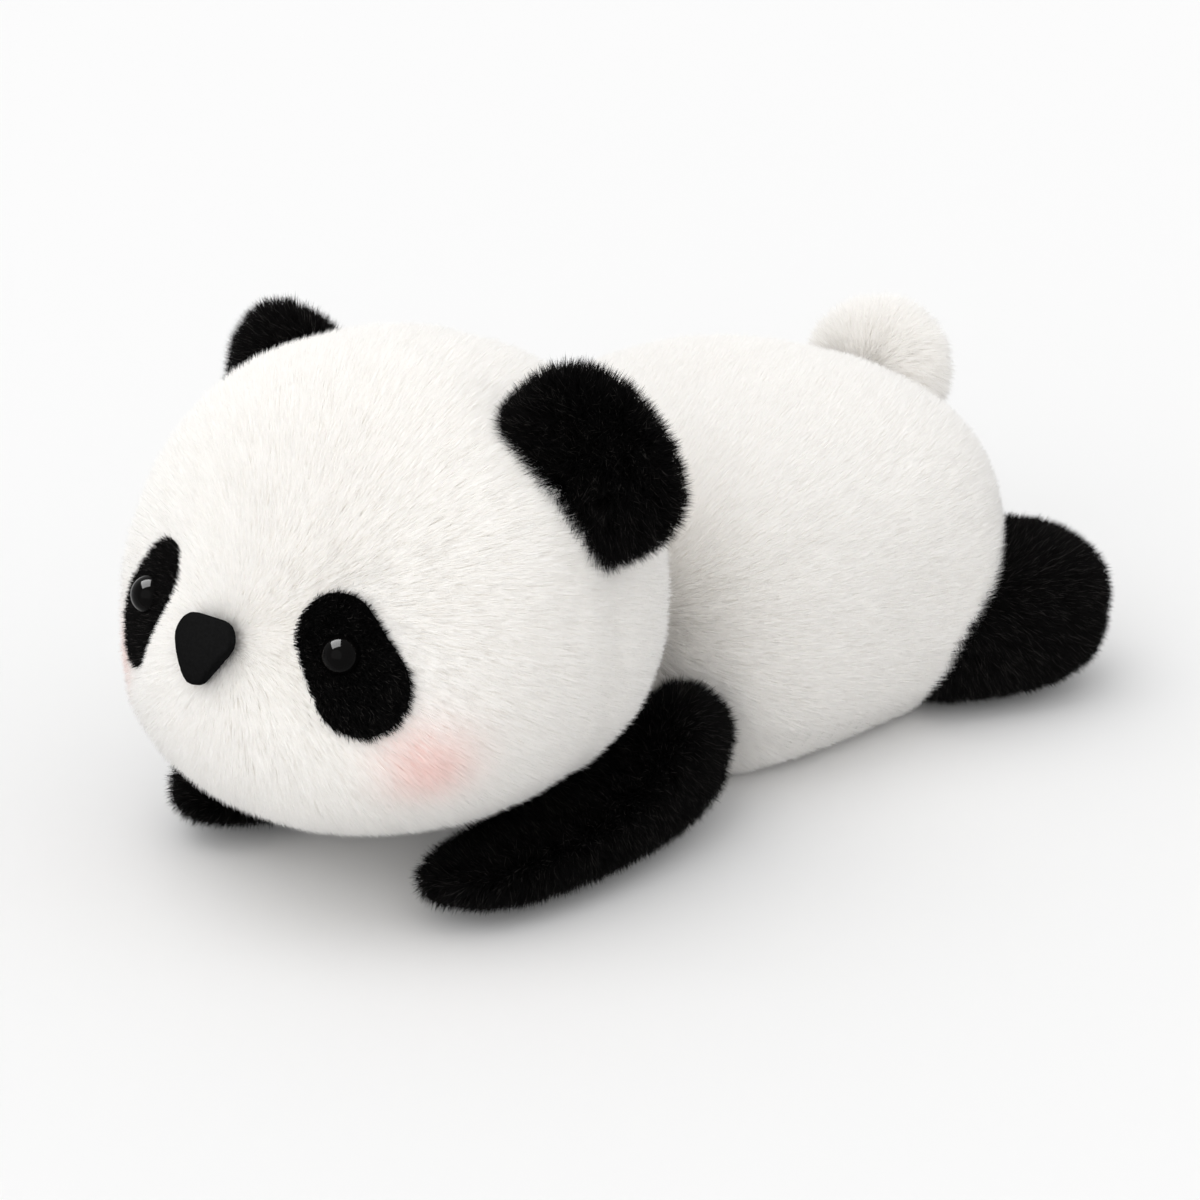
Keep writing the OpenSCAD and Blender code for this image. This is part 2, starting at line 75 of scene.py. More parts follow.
# The photograph's frame, and where things lie in it
FRAME_W = 1200
FRAME_H = 1200
IMAGE_POINTS = {
    "left_edge_x": 118,
    "right_edge_x": 1112,
    "top_edge_y": 294,
    "bottom_edge_y": 908,
    "eye": (339, 655),
    "nose": (205, 650),
    "eye_patch": (356, 668),
    "cheek": (418, 766),
    "ear": (592, 470),
    "tail": (878, 350),
}


# ---------------------------------------------------------------- settings


class PandaPile(bpy.types.PropertyGroup):
    """The pile of the plush cloth"""

    density: bpy.props.FloatProperty(
        name="Density", description="Fibres on a square metre", default=8.4e6, min=1e5, max=2e7
    )
    fibre_width: bpy.props.FloatProperty(
        name="Fibre width", description="Width of a fibre at its root", default=0.37 * MM, unit="LENGTH"
    )
    white_length: bpy.props.FloatProperty(
        name="White pile", description="Length of the white fibres", default=7.0 * MM, unit="LENGTH"
    )
    black_length: bpy.props.FloatProperty(
        name="Black pile", description="Length of the black fibres", default=6.0 * MM, unit="LENGTH"
    )
    white_depth: bpy.props.FloatProperty(
        name="White depth", description="From the white tips down to the backing",
        default=3.2 * MM, unit="LENGTH",
    )
    black_depth: bpy.props.FloatProperty(
        name="Black depth", description="From the black tips down to the backing",
        default=3.8 * MM, unit="LENGTH",
    )
    lump: bpy.props.FloatProperty(
        name="Lump", description="Height of the stuffing's soft lumps", default=0.7 * MM, unit="LENGTH"
    )
    seam_dip: bpy.props.FloatProperty(
        name="Seam dip", description="How far the seams draw the cloth in", default=0.8 * MM, unit="LENGTH"
    )
    skin_step: bpy.props.FloatProperty(
        name="Skin step", description="Size of the backing's faces", default=2.6 * MM, unit="LENGTH"
    )
    seed: bpy.props.IntProperty(name="Seed", description="Seed of the pile's randomness", default=7)


class PandaColours(bpy.types.PropertyGroup):
    """The colours of the cloth, the eyes and the nose"""

    white_tip: bpy.props.FloatVectorProperty(
        name="White tip", description="White fibres at the tip", subtype="COLOR",
        default=(0.955, 0.944, 0.928),
    )
    # The white root is darker than the tip: painted shade deep in the pile.
    white_root_painted_shade: bpy.props.FloatVectorProperty(
        name="White root", description="White fibres at the root", subtype="COLOR",
        default=(0.945, 0.932, 0.913),
    )
    black_tip: bpy.props.FloatVectorProperty(
        name="Black tip", description="Black fibres at the tip", subtype="COLOR",
        default=(0.0125, 0.012, 0.012),
    )
    # The black root is darker than the tip: painted shade deep in the pile.
    black_root_painted_shade: bpy.props.FloatVectorProperty(
        name="Black root", description="Black fibres at the root", subtype="COLOR",
        default=(0.004, 0.004, 0.004),
    )
    blush: bpy.props.FloatVectorProperty(
        name="Blush", description="Airbrushed cheeks", subtype="COLOR",
        default=(0.95, 0.55, 0.50),
    )


class PandaLight(bpy.types.PropertyGroup):
    """The studio's light and floor"""

    sky: bpy.props.FloatProperty(
        name="Sky", description="Strength of the light all round", default=0.86
    )
    top: bpy.props.FloatProperty(
        name="Top", description="Strength of the soft light from above", default=0.38
    )
    front: bpy.props.FloatProperty(
        name="Front", description="Strength of the low light from the front", default=0.8
    )
    window: bpy.props.FloatProperty(
        name="Window", description="Power of the light that only shows in glossy things",
        default=250.0, unit="POWER",
    )
    floor_tone: bpy.props.FloatProperty(
        name="Floor tone", description="Paleness of the floor", default=0.905
    )
    floor_glow: bpy.props.FloatProperty(
        name="Floor glow", description="Added to the floor, but not to the light on the panda",
        default=0.015,
    )


class PandaCamera(bpy.types.PropertyGroup):
    """The photograph's camera"""

    azimuth: bpy.props.FloatProperty(
        name="Azimuth", description="From the panda's front towards its left", subtype="ANGLE",
        default=math.radians(38),
    )
    elevation: bpy.props.FloatProperty(
        name="Elevation", description="Height over the floor", subtype="ANGLE", default=math.radians(22)
    )
    distance: bpy.props.FloatProperty(
        name="Distance", description="From the aim", default=1.0526, unit="LENGTH"
    )
    lens: bpy.props.FloatProperty(name="Lens", description="Focal length in millimetres", default=120.0)
    sensor: bpy.props.FloatProperty(name="Sensor", description="Sensor width in millimetres", default=36.0)
    aim: bpy.props.FloatVectorProperty(
        name="Aim", description="Point at the middle of the frame", subtype="TRANSLATION",
        default=(0.04858, -0.11959, 0.07637),
    )


# ---------------------------------------------------------------- meshes


def node_mesh(*names):
    """A bmesh of copies of CAD nodes, with their loose triangles joined."""
    bm = bmesh.new()
    for name in names:
        bm.from_mesh(frame["nodes"][name].data)
    bmesh.ops.remove_doubles(bm, verts=bm.verts, dist=0.001 * MM)
    return bm


def hull_mesh(bm):
    """The convex hull of a bmesh, which bridges the pockets that the moving parts need."""
    hull = bmesh.new()
    for v in bm.verts:
        hull.verts.new(v.co)
    made = bmesh.ops.convex_hull(hull, input=hull.verts)
    bmesh.ops.delete(hull, geom=list({*made["geom_interior"], *made["geom_unused"]}), context="VERTS")
    bm.free()
    return hull


def new_object(name, mesh):
    obj = bpy.data.objects.new(name, mesh)
    bpy.context.scene.collection.objects.link(obj)
    return obj


def from_bmesh(name, bm):
    mesh = bpy.data.meshes.new(name)
    bm.to_mesh(mesh)
    bm.free()
    return new_object(name, mesh)


def settle(obj):
    """Turns an object's modifiers into its plain mesh."""
    graph = bpy.context.evaluated_depsgraph_get()
    mesh = bpy.data.meshes.new_from_object(obj.evaluated_get(graph))
    obj.modifiers.clear()
    obj.data = mesh
    return obj


def remeshed(obj, step, rounds):
    """An even mesh over the outside of a solid, with its facets smoothed out."""
    even = obj.modifiers.new("even", "REMESH")
    even.mode = "VOXEL"
    even.voxel_size = step
    even.use_smooth_shade = True
    smooth = obj.modifiers.new("smooth", "SMOOTH")
    smooth.factor = 0.5
    smooth.iterations = rounds
    return settle(obj)


def points_of(mesh):
    co = np.empty(len(mesh.vertices) * 3)
    mesh.vertices.foreach_get("co", co)
    return co.reshape(-1, 3)


def normals_of(mesh):
    n = np.empty(len(mesh.vertices) * 3, np.float32)
    mesh.vertex_normals.foreach_get("vector", n)
    return n.reshape(-1, 3).astype(float)


def place_points(mesh, co):
    mesh.vertices.foreach_set("co", co.astype(np.float32).ravel())
    mesh.update()


def store(mesh, name, values):
    """Writes a number or a vector of each vertex as an attribute."""
    kind, field = ("FLOAT_VECTOR", "vector") if values.ndim == 2 else ("FLOAT", "value")
    attribute = mesh.attributes.new(name, kind, "POINT")
    attribute.data.foreach_set(field, values.astype(np.float32).ravel())


def values_of(mesh, name):
    """Reads a number of each vertex."""
    values = np.empty(len(mesh.vertices), np.float32)
    mesh.attributes[name].data.foreach_get("value", values)
    return values


def unit(v):
    return v / np.maximum(np.linalg.norm(v, axis=-1, keepdims=True), 1e-9)


def along_surface(flow, normals):
    """The part of a flow that runs along the surface, as unit vectors."""
    return unit(flow - (flow * normals).sum(1, keepdims=True) * normals)


def soften(mesh, values, rounds):
    """Evens out a field over each vertex's neighbours."""
    ends = np.empty(len(mesh.edges) * 2, int)
    mesh.edges.foreach_get("vertices", ends)
    a, b = ends.reshape(-1, 2).T
    count = np.maximum(np.bincount(ends, minlength=len(values)), 1)[:, None]
    for _ in range(rounds):
        total = np.zeros_like(values)
        np.add.at(total, a, values[b])
        np.add.at(total, b, values[a])
        values = (values + total / count) / 2
    return values


def beside(node, co, up):
    """How far each point lies beside a CAD node, seen along the cloth's normal."""
    bm = node_mesh(node)
    tree = BVHTree.FromBMesh(bm)
    bm.free()
    away = co - np.array([tree.find_nearest(p)[0] for p in co.tolist()])
    return np.linalg.norm(away - (away * up).sum(1, keepdims=True) * up, axis=1)


def swell(co, place, reach, height):
    """A soft hump of a height round a place."""
    return height * np.exp(-((np.linalg.norm(co - place, axis=1) / reach) ** 2))


def lumps(co, size):
    """Soft lumps over a surface, from -1 to 1."""
    return np.array([noise.noise(Vector(p) / size) for p in co.tolist()])


# ---------------------------------------------------------------- node trees


def add(tree, kind, **settings):
    node = tree.nodes.new(kind)
    for name, value in settings.items():
        setattr(node, name, value)
    return node


def put(tree, socket, value):
    """Links a socket to another, or sets its value."""
    if isinstance(value, bpy.types.NodeSocket):
        tree.links.new(value, socket)
    else:
        socket.default_value = value


def maths(tree, operation, *values):
    node = add(tree, "ShaderNodeMath", operation=operation)
    for i, value in enumerate(values):
        put(tree, node.inputs[i], value)
    return node.outputs[0]


def vector_maths(tree, operation, *values):
    node = add(tree, "ShaderNodeVectorMath", operation=operation)
    for i, value in enumerate(values):
        put(tree, node.inputs["Scale"] if operation == "SCALE" and i == 1 else node.inputs[i], value)
    return node.outputs["Value"] if operation in ("LENGTH", "DOT_PRODUCT") else node.outputs[0]


def field(tree, name, kind="FLOAT"):
    node = add(tree, "GeometryNodeInputNamedAttribute", data_type=kind)
    node.inputs["Name"].default_value = name
    return node.outputs["Attribute"]


def keep_field(tree, geometry, name, value, kind="FLOAT", domain="POINT"):
    node = add(tree, "GeometryNodeStoreNamedAttribute", data_type=kind, domain=domain)
    node.inputs["Name"].default_value = name
    put(tree, node.inputs["Geometry"], geometry)
    put(tree, node.inputs["Value"], value)
    return node.outputs[0]


def random_value(tree, low, high, seed, kind="FLOAT"):
    node = add(tree, "FunctionNodeRandomValue", data_type=kind)
    first = 0 if kind == "FLOAT_VECTOR" else 2
    node.inputs[first].default_value = low
    node.inputs[first + 1].default_value = high
    put(tree, node.inputs["Seed"], seed)
    return node.outputs[0 if kind == "FLOAT_VECTOR" else 1]


# How far a fibre may turn round its own length, either way, so that the pile looks alike from all sides
ROLL = math.radians(80)

# The least and the most that a fibre's length and width are multiplied by
LENGTHS = (0.7, 1.1)
WIDTHS = (0.7, 1.3)

# The size of each fibre's place in the colour map, and how far blush and shade move that place
CHART_FIBRE = 0.03
CHART_BLUSH = 1.9
CHART_SHADE = 0.95


def pile_tree():
    """Sets fibres on a cloth: each is one slender triangle that leans along the comb."""
    tree = bpy.data.node_groups.new("pile", "GeometryNodeTree")
    face = tree.interface
    face.new_socket("Cloth", in_out="INPUT", socket_type="NodeSocketGeometry")
    for name, value in (
        ("Density", 8.4e6), ("Length", 7 * MM), ("Width", 0.37 * MM), ("Lean", 1.0),
        ("Tuft", 0.5), ("Tuft Size", 6 * MM), ("Stray", 0.25), ("Floor", 0.2 * MM),
    ):
        face.new_socket(name, in_out="INPUT", socket_type="NodeSocketFloat").default_value = value
    face.new_socket("Seed", in_out="INPUT", socket_type="NodeSocketInt")
    face.new_socket("Fibre", in_out="INPUT", socket_type="NodeSocketMaterial")
    face.new_socket("Plush", in_out="OUTPUT", socket_type="NodeSocketGeometry")
    given = add(tree, "NodeGroupInput").outputs

    # One fibre lies along X from its root, and its width along Y
    flat = add(tree, "GeometryNodeMeshCircle", fill_type="NGON")
    flat.inputs["Vertices"].default_value = 3
    flat.inputs["Radius"].default_value = 1
    blade = add(tree, "GeometryNodeTransform")
    put(tree, blade.inputs["Geometry"], flat.outputs["Mesh"])
    blade.inputs["Scale"].default_value = (2 / 3, 1 / math.sqrt(3), 1)
    blade.inputs["Translation"].default_value = (1 / 3, 0, 0)
    place = add(tree, "ShaderNodeSeparateXYZ")
    put(tree, place.inputs[0], add(tree, "GeometryNodeInputPosition").outputs[0])
    fibre = keep_field(tree, blade.outputs[0], "along", place.outputs["X"])
    fibre = keep_field(tree, fibre, "side", maths(tree, "ADD", place.outputs["Y"], 0.5))

    roots = add(tree, "GeometryNodeDistributePointsOnFaces", distribute_method="RANDOM")
    put(tree, roots.inputs["Mesh"], given["Cloth"])
    put(tree, roots.inputs["Density"], maths(tree, "MULTIPLY", given["Density"], field(tree, "thick")))
    put(tree, roots.inputs["Seed"], given["Seed"])
    bare = add(tree, "GeometryNodeDeleteGeometry", domain="POINT")
    put(tree, bare.inputs["Geometry"], roots.outputs["Points"])
    put(tree, bare.inputs["Selection"], maths(tree, "LESS_THAN", field(tree, "own"), 0.0))
    kept = bare.outputs[0]

    # A fibre's way: up from the cloth, along the comb, with its tuft, and a little astray
    tuft = add(tree, "ShaderNodeTexNoise")
    put(tree, tuft.inputs["Scale"], maths(tree, "DIVIDE", 1.0, given["Tuft Size"]))
    tuft.inputs["Detail"].default_value = 1
    swirl = vector_maths(tree, "SUBTRACT", tuft.outputs["Color"], (0.5, 0.5, 0.5))
    normal = way = field(tree, "up", "FLOAT_VECTOR")
    for part, share in (
        (field(tree, "comb", "FLOAT_VECTOR"), given["Lean"]),
        (swirl, maths(tree, "MULTIPLY", given["Tuft"], 2.0)),
        (random_value(tree, (-1, -1, -1), (1, 1, 1), 3, "FLOAT_VECTOR"), given["Stray"]),
    ):
        way = vector_maths(tree, "ADD", way, vector_maths(tree, "SCALE", part, share))
    aimed = add(tree, "FunctionNodeAlignRotationToVector", axis="X", pivot_axis="AUTO")
    put(tree, aimed.inputs["Vector"], way)
    rolled = add(tree, "FunctionNodeAlignRotationToVector", axis="Z", pivot_axis="X")
    put(tree, rolled.inputs["Rotation"], aimed.outputs[0])
    put(tree, rolled.inputs["Vector"], normal)
    roll = add(tree, "FunctionNodeAxisAngleToRotation")
    roll.inputs["Axis"].default_value = (1, 0, 0)
    put(tree, roll.inputs["Angle"], random_value(tree, -ROLL, ROLL, 17))
    turned = add(tree, "FunctionNodeRotateRotation", rotation_space="LOCAL")
    put(tree, turned.inputs["Rotation"], rolled.outputs[0])
    put(tree, turned.inputs["Rotate By"], roll.outputs[0])

    size = add(tree, "ShaderNodeCombineXYZ")
    length = maths(tree, "MULTIPLY", given["Length"], field(tree, "pile"))
    put(tree, size.inputs["X"], maths(tree, "MULTIPLY", length, random_value(tree, *LENGTHS, 5)))
    put(tree, size.inputs["Y"], maths(tree, "MULTIPLY", given["Width"], random_value(tree, *WIDTHS, 8)))
    size.inputs["Z"].default_value = 1
    pile = add(tree, "GeometryNodeInstanceOnPoints")
    put(tree, pile.inputs["Points"], kept)
    put(tree, pile.inputs["Instance"], fibre)
    put(tree, pile.inputs["Rotation"], turned.outputs[0])
    put(tree, pile.inputs["Scale"], size.outputs[0])
    shaded = keep_field(tree, pile.outputs[0], "shade", random_value(tree, 0.0, 1.0, 11), domain="INSTANCE")
    real = add(tree, "GeometryNodeRealizeInstances")
    put(tree, real.inputs[0], shaded)

    # No fibre reaches through the floor
    spot = add(tree, "ShaderNodeSeparateXYZ")
    put(tree, spot.inputs[0], add(tree, "GeometryNodeInputPosition").outputs[0])
    held = add(tree, "ShaderNodeCombineXYZ")
    put(tree, held.inputs["X"], spot.outputs["X"])
    put(tree, held.inputs["Y"], spot.outputs["Y"])
    put(tree, held.inputs["Z"], maths(tree, "MAXIMUM", spot.outputs["Z"], given["Floor"]))
    lying = add(tree, "GeometryNodeSetPosition")
    put(tree, lying.inputs["Geometry"], real.outputs[0])
    put(tree, lying.inputs["Position"], held.outputs[0])

    # A map that gives each fibre a small place of its colour
    chart = add(tree, "ShaderNodeCombineXYZ")
    for axis, fine, coarse, reach in (
        ("X", "along", "blush", CHART_BLUSH), ("Y", "side", "shade", CHART_SHADE),
    ):
        start = maths(tree, "MULTIPLY", field(tree, coarse), reach)
        place_in_map = maths(tree, "MULTIPLY_ADD", field(tree, fine), CHART_FIBRE, start)
        put(tree, chart.inputs[axis], place_in_map)
    charted = keep_field(tree, lying.outputs[0], "OFBake", chart.outputs[0], "FLOAT2", "CORNER")

    soft = add(tree, "GeometryNodeSetMeshNormal", mode="FREE", domain="POINT")
    put(tree, soft.inputs["Mesh"], charted)
    put(tree, soft.inputs["Custom Normal"], field(tree, "up", "FLOAT_VECTOR"))
    finish = add(tree, "GeometryNodeSetMaterial")
    put(tree, finish.inputs["Geometry"], soft.outputs[0])
    put(tree, finish.inputs["Material"], given["Fibre"])
    whole = add(tree, "GeometryNodeJoinGeometry")
    put(tree, whole.inputs[0], finish.outputs[0])
    put(tree, whole.inputs[0], given["Cloth"])
    put(tree, add(tree, "NodeGroupOutput").inputs[0], whole.outputs[0])
    return tree


def grow_pile(obj, tree, values):
    """Runs the pile's tree on a cloth and leaves a plain mesh."""
    modifier = obj.modifiers.new("pile", "NODES")
    modifier.node_group = tree
    for item in tree.interface.items_tree:
        if item.in_out == "INPUT" and item.name in values:
            modifier[item.identifier] = values[item.name]
    return settle(obj)


# ---------------------------------------------------------------- materials


def material(name):
    made = bpy.data.materials.new(name)
    made.use_nodes = True
    return made, made.node_tree, made.node_tree.nodes["Principled BSDF"]


def attribute(tree, name, output="Fac"):
    node = add(tree, "ShaderNodeAttribute", attribute_type="GEOMETRY", attribute_name=name)
    return node.outputs[output]


def mixed(tree, factor, a, b):
    node = add(tree, "ShaderNodeMix", data_type="RGBA")
    put(tree, node.inputs["Factor"], factor)
    colours = [s for s in node.inputs if s.type == "RGBA"]
    for socket, value in zip(colours, (a, b)):
        put(tree, socket, value if isinstance(value, bpy.types.NodeSocket) else (*value, 1))
    return [s for s in node.outputs if s.type == "RGBA"][0]


def scaled(tree, value, low, high):
    """A share from 0 to 1 as a number from low to high."""
    return maths(tree, "ADD", maths(tree, "MULTIPLY", value, high - low), low)


def both_sides(tree, shader, colour):
    """Lights a fibre seen from behind by the light on its front, as a thin fibre does."""
    through = add(tree, "ShaderNodeBsdfTranslucent")
    put(tree, through.inputs["Color"], colour)
    joined = add(tree, "ShaderNodeMixShader")
    put(tree, joined.inputs[0], add(tree, "ShaderNodeNewGeometry").outputs["Backfacing"])
    put(tree, joined.inputs[1], shader.outputs[0])
    put(tree, joined.inputs[2], through.outputs[0])
    put(tree, tree.nodes["Material Output"].inputs["Surface"], joined.outputs[0])


# How much the white fibres differ in brightness, and the black ones given painted glints, a painted
# highlight on a few fibres: the share that has none, and the tip's colour of the rest
SHADES = (0.965, 1.01)
GLINT_FROM = 0.93
PAINTED_GLINT = (0.075, 0.07, 0.066)


def white_fibre(colours):
    made, tree, shader = material("white_pile")
    # Painted shade: each fibre's colour darkens from the tip down to the root.
    base = mixed(tree, attribute(tree, "along"), tuple(colours.white_root_painted_shade), tuple(colours.white_tip))
    base = mixed(tree, attribute(tree, "blush"), base, tuple(colours.blush))
    tone = add(tree, "ShaderNodeHueSaturation")
    put(tree, tone.inputs["Color"], base)
    put(tree, tone.inputs["Value"], scaled(tree, attribute(tree, "shade"), *SHADES))
    put(tree, shader.inputs["Base Color"], tone.outputs[0])
    both_sides(tree, shader, tone.outputs[0])
    shader.inputs["Roughness"].default_value = 0.9
    shader.inputs["Specular IOR Level"].default_value = 0
    return made


def black_fibre(colours):
    made, tree, shader = material("black_pile")
    # Painted shade: each fibre's colour darkens from the tip down to the root.
    base = mixed(tree, attribute(tree, "along"), tuple(colours.black_root_painted_shade), tuple(colours.black_tip))
    # Painted highlight: a few black fibres lighten towards the tip as glints.
    painted_glint_mask = maths(tree, "GREATER_THAN", attribute(tree, "shade"), GLINT_FROM)
    lit = mixed(tree, maths(tree, "MULTIPLY", painted_glint_mask, attribute(tree, "along")), base, PAINTED_GLINT)
    put(tree, shader.inputs["Base Color"], lit)
    both_sides(tree, shader, lit)
    shader.inputs["Roughness"].default_value = 0.9
    shader.inputs["Specular IOR Level"].default_value = 0
    return made


def grain(tree, scale, detail=2.0):
    """A fine noise over a piece, in its own coordinates."""
    texture = add(tree, "ShaderNodeTexNoise")
    put(tree, texture.inputs["Vector"], add(tree, "ShaderNodeTexCoord").outputs["Object"])
    texture.inputs["Scale"].default_value = scale
    texture.inputs["Detail"].default_value = detail
    return texture.outputs["Fac"]


def bumped(tree, shader, height, distance):
    """Gives a material a fine relief."""
    bump = add(tree, "ShaderNodeBump")
    put(tree, bump.inputs["Height"], height)
    bump.inputs["Strength"].default_value = 0.6
    bump.inputs["Distance"].default_value = distance
    put(tree, shader.inputs["Normal"], bump.outputs[0])


def backing(name, colour):
    """Knitted backing cloth under the pile, with painted shade in its knit's hollows laid as a fine random
    noise.
    """
    made, tree, shader = material(name)
    # Painted shade: a fine random noise darkens the knit by up to 15 percent, for its hollows.
    hollow_shade = tuple(0.85 * c for c in colour)
    put(tree, shader.inputs["Base Color"], mixed(tree, grain(tree, 900), hollow_shade, tuple(colour)))
    shader.inputs["Roughness"].default_value = 1
    shader.inputs["Specular IOR Level"].default_value = 0
    return made


def flocked():
    """Short black flock, matt, with a faint nap."""
    made, tree, shader = material("black_flock")
    nap = grain(tree, 1400)
    base = mixed(tree, nap, (0.0055, 0.0055, 0.0055), (0.013, 0.013, 0.0133))
    put(tree, shader.inputs["Base Color"], base)
    shader.inputs["Roughness"].default_value = 0.9
    shader.inputs["Specular IOR Level"].default_value = 0
    bumped(tree, shader, nap, 0.25 * MM)
    return made


def glossy_plastic():
    """Polished black plastic with faint moulding ripples."""
    made, tree, shader = material("black_eye_plastic")
    ripple = grain(tree, 120)
    base = mixed(tree, ripple, (0.0014, 0.0012, 0.0012), (0.003, 0.0027, 0.0026))
    put(tree, shader.inputs["Base Color"], base)
    put(tree, shader.inputs["Roughness"], scaled(tree, ripple, 0.04, 0.09))
    shader.inputs["Specular IOR Level"].default_value = 0.05
    return made


def washer_plastic():
    """White nylon, moulded and slightly rough."""
    made, tree, shader = material("white_washer_plastic")
    mould = grain(tree, 700)
    put(tree, shader.inputs["Base Color"], mixed(tree, mould, (0.72, 0.72, 0.70), (0.82, 0.82, 0.80)))
    shader.inputs["Roughness"].default_value = 0.42
    bumped(tree, shader, mould, 0.1 * MM)
    return made


def filling():
    """Crimped white fibre filling."""
    made, tree, shader = material("fibre_filling")
    crimp = grain(tree, 260, 6)
    put(tree, shader.inputs["Base Color"], mixed(tree, crimp, (0.74, 0.73, 0.71), (0.93, 0.93, 0.92)))
    shader.inputs["Roughness"].default_value = 1
    bumped(tree, shader, crimp, 1.2 * MM)
    return made


def twisted_thread():
    """White sewing thread with its twist."""
    made, tree, shader = material("white_thread")
    twist = add(tree, "ShaderNodeTexWave", bands_direction="DIAGONAL")
    put(tree, twist.inputs["Vector"], add(tree, "ShaderNodeTexCoord").outputs["Object"])
    twist.inputs["Scale"].default_value = 420
    twist.inputs["Distortion"].default_value = 1.5
    base = mixed(tree, twist.outputs["Fac"], (0.70, 0.69, 0.66), (0.90, 0.89, 0.87))
    put(tree, shader.inputs["Base Color"], base)
    shader.inputs["Roughness"].default_value = 0.6
    bumped(tree, shader, twist.outputs["Fac"], 0.15 * MM)
    return made


def finish_node(node, finish):
    """Gives a CAD node that stays its material."""
    if not node.material_slots:
        node.data.materials.append(finish)
    for slot in node.material_slots:
        slot.material = finish


# ---------------------------------------------------------------- the panda's cloth


# How much fuller than its solid each ear is
EAR_PUFF = {"left": 1.6 * MM, "right": 3.0 * MM}

# How far a body's cloth is eased off its solid where the photograph shows it set otherwise, in millimetres
EASED = {
    "left_ear": (-0.7, -0.5, 1.4),
    "right_ear": (0, 0, -4.6),
    "left_arm": (0.3, 0.2, 0.3),
    "right_arm": (-3.0, -2.3, 0.8),
    "left_leg": (0, -2.6, 0.7),
    "right_leg": (0, 0, 0),
}

HEAD = ("face_panel", "head_back_left_panel", "head_back_right_panel", "left_eye_patch", "right_eye_patch")
TORSO = ("back_left_panel", "back_right_panel", "belly_panel")

# How much wider than its cut cloth an eye patch shows, since its pile lies over the face's, and how
# much more of that is on the nose's side
PATCH_SPREAD = 0.5 * MM
PATCH_SHIFT = 1.0 * MM

# The white pile is cut short beside an eye patch: its share of its length, and where that starts and ends
TRIM = (0.45, 1)
TRIM_REACH = (1.5 * MM, 7 * MM)

# The size of the filling's lumps, how far a seam's dip reaches, and how low the backing may lie
LUMP_SIZE = 35 * MM
SEAM_REACH = 4 * MM
BACKING_FLOOR = 0.6 * MM

# Where the panda lies on the floor its pile is pressed thin and short: the least share of its fibres and
# of their length, and the height at which each is whole again
PRESSED_DENSITY = 0.3
PRESSED_HEIGHT = 8 * MM
PRESSED_PILE = (0.6, 1)
PRESSED_REACH = (0, 10 * MM)

# The tips' surface of each body's cloth, against which what shows is tested
OUTSIDES = {}


def limb_cloth(side, limb):
    return (f"{side}_{limb}_upper_panel", f"{side}_{limb}_under_panel")


def ear_cloth(side):
    return (f"{side}_ear_front_panel", f"{side}_ear_back_panel")


def joint_place(name):
    return np.array([j["pos_m"] for j in frame["joints"] if j["name"] == name][0])


def middle(node):
    low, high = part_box(node)
    return np.array((low + high) / 2)


class Cloth:
    """What one body's cloth covers, and how its pile lies."""

    def __init__(self, body, nodes, inner, flow, lean, **more):
        self.body, self.nodes, self.inner, self.flow, self.lean = body, nodes, inner, flow, lean
        self.black = more.get("black", False)
        self.convex = more.get("convex", True)
        self.rounds = more.get("rounds", 8)
        self.patches = more.get("patches", ())
        self.shift = np.array(more.get("shift", (0, 0, 0))) * MM
        self.stray = more.get("stray", 0.22)
        self.tuft = more.get("tuft", 0.5 if self.black else 0.22)
        self.pile = more.get("pile", lambda co: np.ones(len(co)))
        self.puff = more.get("puff", lambda co: np.zeros(len(co)))
        self.blush = more.get("blush", lambda co: np.zeros(len(co)))


def cloth_skin(cloth, pile):
    """The backing of a body's cloth, and for each panel how far inside its seams each point lies."""
    bm = node_mesh(*cloth.nodes, *cloth.inner)
    if cloth.convex:
        bm = hull_mesh(bm)
    skin = remeshed(from_bmesh(cloth.body + "_skin", bm), pile.skin_step, cloth.rounds)
    mesh = skin.data
    outside = points_of(mesh)
    up = unit(soften(mesh, normals_of(mesh), cloth.rounds))
    OUTSIDES[cloth.body] = BVHTree.FromPolygons(outside.tolist(), [list(p.vertices) for p in mesh.polygons])
    away = np.array([beside(n, outside, up) for n in cloth.nodes])
    trim = np.ones(len(outside))
    for i, node in enumerate(cloth.nodes):
        if node in cloth.patches:
            trim = np.minimum(trim, np.interp(away[i], TRIM_REACH, TRIM))
            inward = unit(middle("nose") - middle(node))
            away[i] -= PATCH_SPREAD + PATCH_SHIFT * (unit(outside - middle(node)) @ inward)
    own = {}
    seam = np.full(len(outside), 1.0)
    for i, node in enumerate(cloth.nodes):
        others = np.delete(away, i, axis=0).min(0) if len(cloth.nodes) > 1 else away[i] + 1
        own[node] = others - away[i]
        seam = np.minimum(seam, np.abs(own[node]))
    depth = pile.black_depth if cloth.black else pile.white_depth
    rise = cloth.puff(outside) - depth + pile.lump * lumps(outside, LUMP_SIZE)
    rise -= pile.seam_dip * np.exp(-((seam / SEAM_REACH) ** 2))
    laid = outside + rise[:, None] * up + cloth.shift
    laid[:, 2] = np.maximum(laid[:, 2], BACKING_FLOOR)
    place_points(mesh, laid)
    store(mesh, "up", up)
    store(mesh, "comb", along_surface(cloth.flow(outside), up))
    store(mesh, "blush", cloth.blush(outside))
    low = outside[:, 2]
    store(mesh, "thick", np.clip(PRESSED_DENSITY + low / PRESSED_HEIGHT, PRESSED_DENSITY, 1))
    store(mesh, "pile", cloth.pile(outside) * np.interp(low, PRESSED_REACH, PRESSED_PILE))
    return skin, own, trim


# How far inside the backing the filling lies, the height and size of its lumps, and its mesh
FILLING_DEPTH = 1.8 * MM
FILLING_LUMP = 0.6 * MM
FILLING_LUMP_SIZE = 9 * MM
FILLING_STEP = 3 * MM
FILLING_ROUNDS = 3


